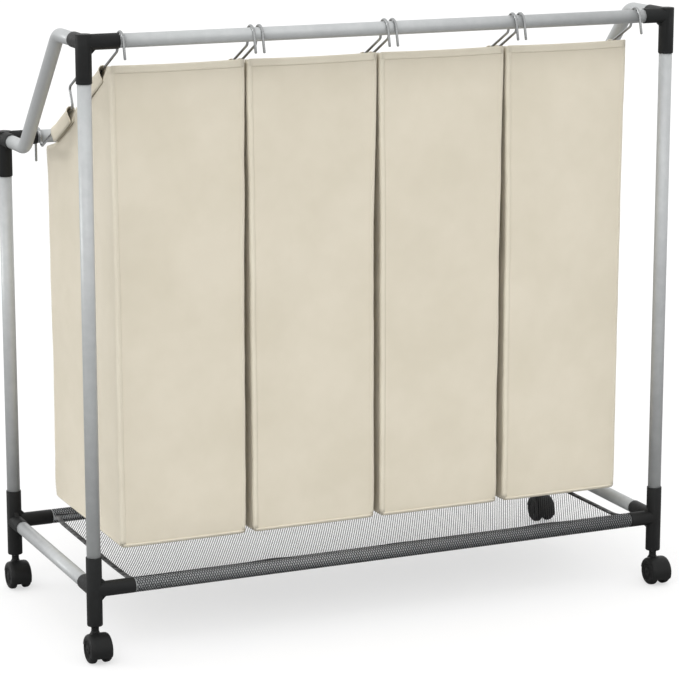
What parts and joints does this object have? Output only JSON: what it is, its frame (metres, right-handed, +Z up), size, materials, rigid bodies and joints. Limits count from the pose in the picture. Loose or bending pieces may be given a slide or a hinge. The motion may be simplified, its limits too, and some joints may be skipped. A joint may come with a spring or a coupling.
{
  "type": "laundry sorter on wheels",
  "caption": "Wheeled laundry sorter: push-fit steel tube frame, open fabric bags hung on wire hangers between a high front and a low rear rail, net shelf below, swivel casters.",
  "frame": {"origin": "on the floor, under the middle of the whole sorter", "axes": "+X along the row of bags (to the right when facing the high rail side), +Y from the high front rail to the low rear rail, +Z up"},
  "size_m": [0.8558, 0.3885, 0.81],
  "materials": {
    "tube": "satin",
    "connector": "matte",
    "caster_plastic": "matte",
    "tread": "matte",
    "pin": "satin",
    "wire": "satin",
    "fabric": "matte",
    "board": "matte",
    "net": "matte"
  },
  "bodies": {
    "frame": {"front_left_post": "tube", "rear_left_post": "tube", "bottom_left_rail": "tube", "top_left_side_rail": "tube", "front_right_post": "tube", "rear_right_post": "tube", "bottom_right_rail": "tube", "top_right_side_rail": "tube", "high_top_rail": "tube", "low_top_rail": "tube", "bottom_front_rail": "tube", "bottom_rear_rail": "tube", "top_front_left_connector": "connector", "top_front_right_connector": "connector", "top_rear_left_connector": "connector", "top_rear_right_connector": "connector", "bottom_front_left_connector": "connector", "bottom_front_right_connector": "connector", "bottom_rear_left_connector": "connector", "bottom_rear_right_connector": "connector", "net_shelf": "net", "front_left_caster_stem": "pin", "front_right_caster_stem": "pin", "rear_left_caster_stem": "pin", "rear_right_caster_stem": "pin"},
    "front_left_caster_swivel_body": {"front_left_caster_housing": "caster_plastic", "front_left_caster_axle": "pin"},
    "front_left_caster_left_wheel": {"front_left_caster_left_wheel": "tread"},
    "front_left_caster_right_wheel": {"front_left_caster_right_wheel": "tread"},
    "front_right_caster_swivel_body": {"front_right_caster_housing": "caster_plastic", "front_right_caster_axle": "pin"},
    "front_right_caster_left_wheel": {"front_right_caster_left_wheel": "tread"},
    "front_right_caster_right_wheel": {"front_right_caster_right_wheel": "tread"},
    "rear_left_caster_swivel_body": {"rear_left_caster_housing": "caster_plastic", "rear_left_caster_axle": "pin"},
    "rear_left_caster_left_wheel": {"rear_left_caster_left_wheel": "tread"},
    "rear_left_caster_right_wheel": {"rear_left_caster_right_wheel": "tread"},
    "rear_right_caster_swivel_body": {"rear_right_caster_housing": "caster_plastic", "rear_right_caster_axle": "pin"},
    "rear_right_caster_left_wheel": {"rear_right_caster_left_wheel": "tread"},
    "rear_right_caster_right_wheel": {"rear_right_caster_right_wheel": "tread"},
    "bag_1": {"bag_1_fabric": "fabric", "bag_1_base_board": "board", "bag_1_left_hanger": "wire", "bag_1_right_hanger": "wire"},
    "bag_2": {"bag_2_fabric": "fabric", "bag_2_base_board": "board", "bag_2_left_hanger": "wire", "bag_2_right_hanger": "wire"},
    "bag_3": {"bag_3_fabric": "fabric", "bag_3_base_board": "board", "bag_3_left_hanger": "wire", "bag_3_right_hanger": "wire"},
    "bag_4": {"bag_4_fabric": "fabric", "bag_4_base_board": "board", "bag_4_left_hanger": "wire", "bag_4_right_hanger": "wire"}
  },
  "joints": [
    {"name": "front_left_caster_swivel", "type": "hinge", "parent": "frame", "child": "front_left_caster_swivel_body", "pos_m": [-0.413, -0.16275, 0.0442], "axis": [0, 0, 1], "continuous": true},
    {"name": "front_left_caster_left_wheel_roll", "type": "hinge", "parent": "front_left_caster_swivel_body", "child": "front_left_caster_left_wheel", "pos_m": [-0.42305, -0.17375, 0.01827], "axis": [1, 0, 0], "continuous": true},
    {"name": "front_left_caster_right_wheel_roll", "type": "hinge", "parent": "front_left_caster_swivel_body", "child": "front_left_caster_right_wheel", "pos_m": [-0.40295, -0.17375, 0.01827], "axis": [1, 0, 0], "continuous": true},
    {"name": "front_right_caster_swivel", "type": "hinge", "parent": "frame", "child": "front_right_caster_swivel_body", "pos_m": [0.413, -0.16275, 0.0442], "axis": [0, 0, 1], "continuous": true},
    {"name": "front_right_caster_left_wheel_roll", "type": "hinge", "parent": "front_right_caster_swivel_body", "child": "front_right_caster_left_wheel", "pos_m": [0.40295, -0.17375, 0.01827], "axis": [1, 0, 0], "continuous": true},
    {"name": "front_right_caster_right_wheel_roll", "type": "hinge", "parent": "front_right_caster_swivel_body", "child": "front_right_caster_right_wheel", "pos_m": [0.42305, -0.17375, 0.01827], "axis": [1, 0, 0], "continuous": true},
    {"name": "rear_left_caster_swivel", "type": "hinge", "parent": "frame", "child": "rear_left_caster_swivel_body", "pos_m": [-0.413, 0.18125, 0.0442], "axis": [0, 0, 1], "continuous": true},
    {"name": "rear_left_caster_left_wheel_roll", "type": "hinge", "parent": "rear_left_caster_swivel_body", "child": "rear_left_caster_left_wheel", "pos_m": [-0.42305, 0.17025, 0.01827], "axis": [1, 0, 0], "continuous": true},
    {"name": "rear_left_caster_right_wheel_roll", "type": "hinge", "parent": "rear_left_caster_swivel_body", "child": "rear_left_caster_right_wheel", "pos_m": [-0.40295, 0.17025, 0.01827], "axis": [1, 0, 0], "continuous": true},
    {"name": "rear_right_caster_swivel", "type": "hinge", "parent": "frame", "child": "rear_right_caster_swivel_body", "pos_m": [0.413, 0.18125, 0.0442], "axis": [0, 0, 1], "continuous": true},
    {"name": "rear_right_caster_left_wheel_roll", "type": "hinge", "parent": "rear_right_caster_swivel_body", "child": "rear_right_caster_left_wheel", "pos_m": [0.40295, 0.17025, 0.01827], "axis": [1, 0, 0], "continuous": true},
    {"name": "rear_right_caster_right_wheel_roll", "type": "hinge", "parent": "rear_right_caster_swivel_body", "child": "rear_right_caster_right_wheel", "pos_m": [0.42305, 0.17025, 0.01827], "axis": [1, 0, 0], "continuous": true},
    {"name": "bag_1_lift_off", "type": "slide", "parent": "frame", "child": "bag_1", "axis": [0, 0, 1], "range_m": [0, 0.7]},
    {"name": "bag_2_lift_off", "type": "slide", "parent": "frame", "child": "bag_2", "axis": [0, 0, 1], "range_m": [0, 0.7]},
    {"name": "bag_3_lift_off", "type": "slide", "parent": "frame", "child": "bag_3", "axis": [0, 0, 1], "range_m": [0, 0.7]},
    {"name": "bag_4_lift_off", "type": "slide", "parent": "frame", "child": "bag_4", "axis": [0, 0, 1], "range_m": [0, 0.7]}
  ]
}
